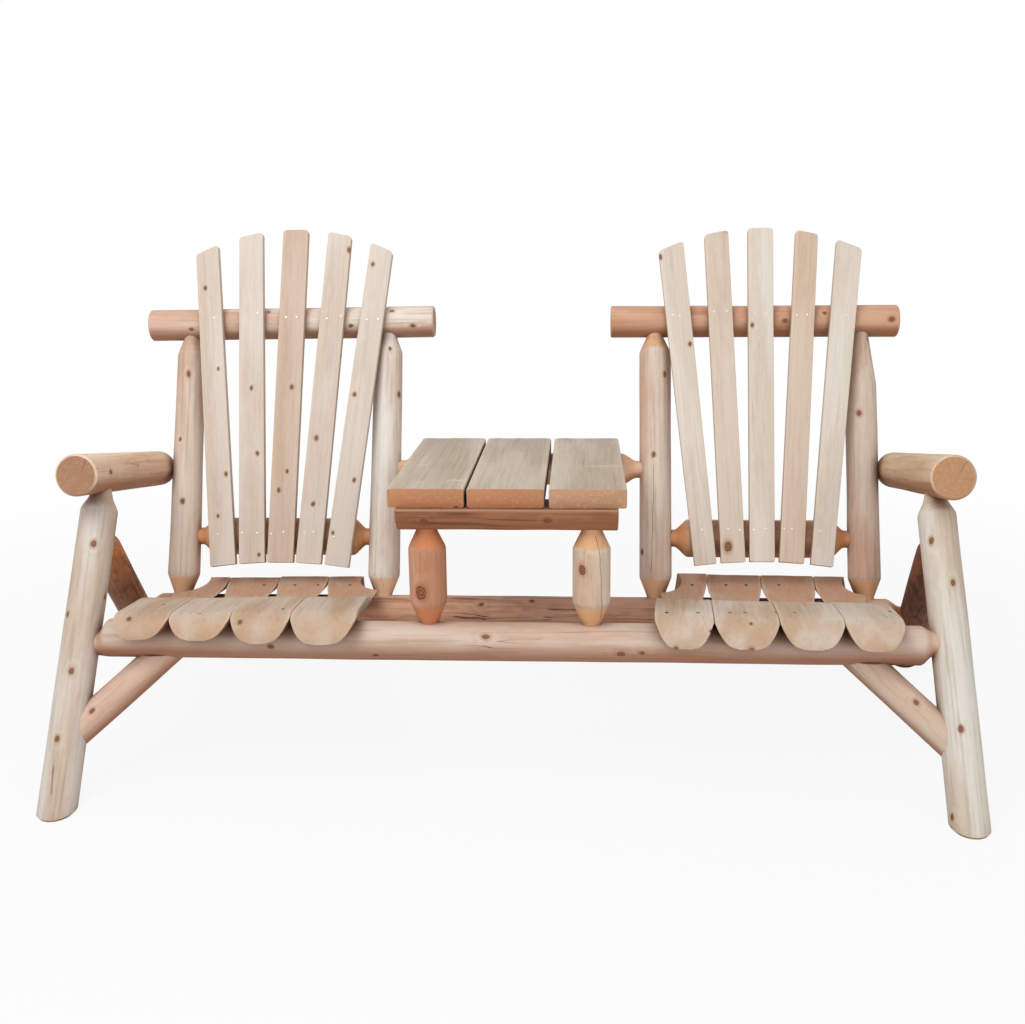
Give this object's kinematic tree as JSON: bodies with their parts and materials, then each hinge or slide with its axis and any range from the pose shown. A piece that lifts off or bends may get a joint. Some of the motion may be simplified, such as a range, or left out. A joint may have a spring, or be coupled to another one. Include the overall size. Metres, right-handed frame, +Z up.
{
  "type": "tete-a-tete bench",
  "caption": "Rustic log bench for two: contoured seats with fan-shaped slatted backs and round arms, joined by a shared small board table between them",
  "frame": {"origin": "on the ground, at the middle of the overall length and depth", "axes": "+X runs along the bench from the left chair to the right chair as seen from the front, +Y from the front of the seats to the backs, +Z up"},
  "size_m": [2.0329, 0.9556, 1.0939],
  "materials": {
    "peeled_cedar": "hand peeled, unfinished, pale with pinkish bands",
    "shaded_cedar": "hand peeled, unfinished, darker brown",
    "arm_cedar": "hand peeled, unfinished, warm tan",
    "seat_cedar": "sawn and sanded half log, grey beige with pink tan",
    "back_slat_cedar": "planed board, unfinished, pale beige",
    "board_cedar": "rough sawn board, grey beige"
  },
  "bodies": {
    "root": {"arm_left": "arm_cedar", "arm_right": "arm_cedar", "front_leg_left": "peeled_cedar", "front_leg_right": "peeled_cedar", "front_rail": "peeled_cedar", "knee_brace_left": "peeled_cedar", "knee_brace_right": "peeled_cedar", "left_back_slat_1": "back_slat_cedar", "left_back_slat_2": "back_slat_cedar", "left_back_slat_3": "back_slat_cedar", "left_back_slat_4": "back_slat_cedar", "left_back_slat_5": "back_slat_cedar", "left_inner_post": "peeled_cedar", "left_lower_back_rail": "peeled_cedar", "left_outer_post": "peeled_cedar", "left_seat_slat_1": "seat_cedar", "left_seat_slat_2": "seat_cedar", "left_seat_slat_3": "seat_cedar", "left_seat_slat_4": "seat_cedar", "left_top_rail": "peeled_cedar", "rear_leg_left": "shaded_cedar", "rear_leg_right": "shaded_cedar", "rear_rail": "peeled_cedar", "right_back_slat_1": "back_slat_cedar", "right_back_slat_2": "back_slat_cedar", "right_back_slat_3": "back_slat_cedar", "right_back_slat_4": "back_slat_cedar", "right_back_slat_5": "back_slat_cedar", "right_inner_post": "peeled_cedar", "right_lower_back_rail": "peeled_cedar", "right_outer_post": "peeled_cedar", "right_seat_slat_1": "seat_cedar", "right_seat_slat_2": "seat_cedar", "right_seat_slat_3": "seat_cedar", "right_seat_slat_4": "seat_cedar", "right_top_rail": "peeled_cedar", "table_board_1": "board_cedar", "table_board_2": "board_cedar", "table_board_3": "board_cedar", "table_front_bearer": "arm_cedar", "table_rear_bearer": "peeled_cedar", "table_stub_post_left": "peeled_cedar", "table_stub_post_right": "peeled_cedar"}
  },
  "joints": []
}
